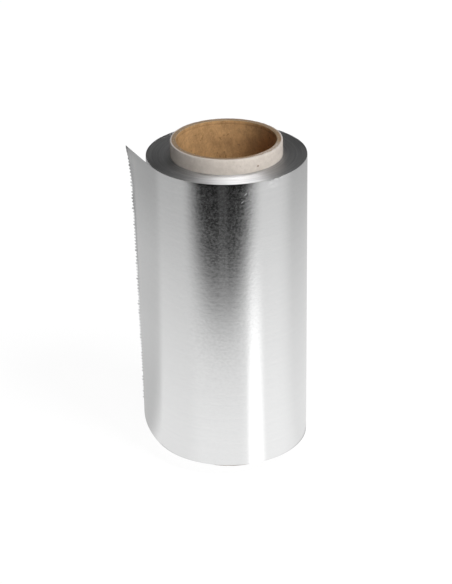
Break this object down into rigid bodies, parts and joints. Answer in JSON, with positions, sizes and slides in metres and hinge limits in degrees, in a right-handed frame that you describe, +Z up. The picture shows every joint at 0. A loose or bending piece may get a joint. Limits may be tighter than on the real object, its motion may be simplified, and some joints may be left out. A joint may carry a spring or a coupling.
{
  "type": "aluminium foil roll",
  "caption": "Roll of thin aluminium foil wound on a paper core that stands out at both ends, with a free tail torn off along a toothed edge.",
  "frame": {"origin": "on the roll's axis, at the core's lower end face", "axes": "+Z up along the roll's axis; the free tail leaves on the -X side and runs towards +Y; the picture looks along +Y from above"},
  "size_m": [0.0703, 0.0621, 0.132],
  "materials": {
    "core_board": "matt wound board, pale outer ply and brown kraft inside",
    "foil": "bright rolled foil with a fine grain round the roll"
  },
  "bodies": {
    "root": {"core_tube": "core_board", "foil_roll": "foil"}
  },
  "joints": []
}
